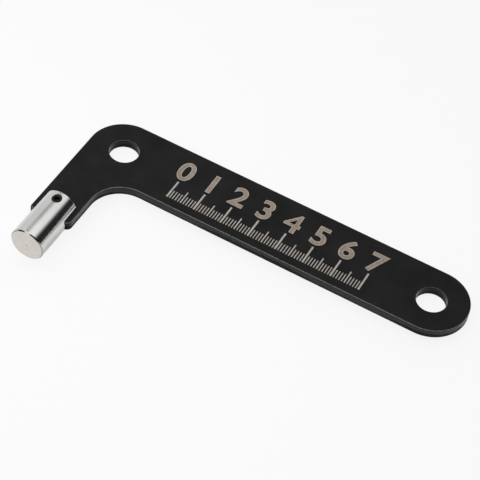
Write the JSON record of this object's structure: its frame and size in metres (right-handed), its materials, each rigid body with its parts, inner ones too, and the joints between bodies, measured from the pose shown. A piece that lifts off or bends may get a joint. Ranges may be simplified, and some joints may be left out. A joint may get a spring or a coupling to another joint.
{
  "type": "hub tool",
  "caption": "Flat L-shaped hub tool: a black steel plate handle whose short arm carries a slotted round drive pin held by a set screw.",
  "frame": {"origin": "on the drive pin's axis, halfway along its free round length, at mid-thickness of the plate", "axes": "-Y out of the drive pin's free end, +X along the handle towards its round end, +Z out of the set screw's side"},
  "size_m": [0.1383, 0.0629, 0.012],
  "materials": {
    "black_coat": "satin",
    "bright_steel": "satin",
    "black_oxide": "satin"
  },
  "bodies": {
    "handle_plate": {"handle_plate": "black_coat"},
    "drive_pin": {"drive_pin": "bright_steel"},
    "set_screw": {"set_screw": "black_oxide"}
  },
  "joints": [
    {"name": "drive_pin_slide", "type": "slide", "parent": "handle_plate", "child": "drive_pin", "axis": [0, -1, 0], "range_m": [0, 0.0073]},
    {"name": "set_screw_travel", "type": "slide", "parent": "drive_pin", "child": "set_screw", "axis": [0, 0, 1], "range_m": [0, 0.0035]}
  ]
}
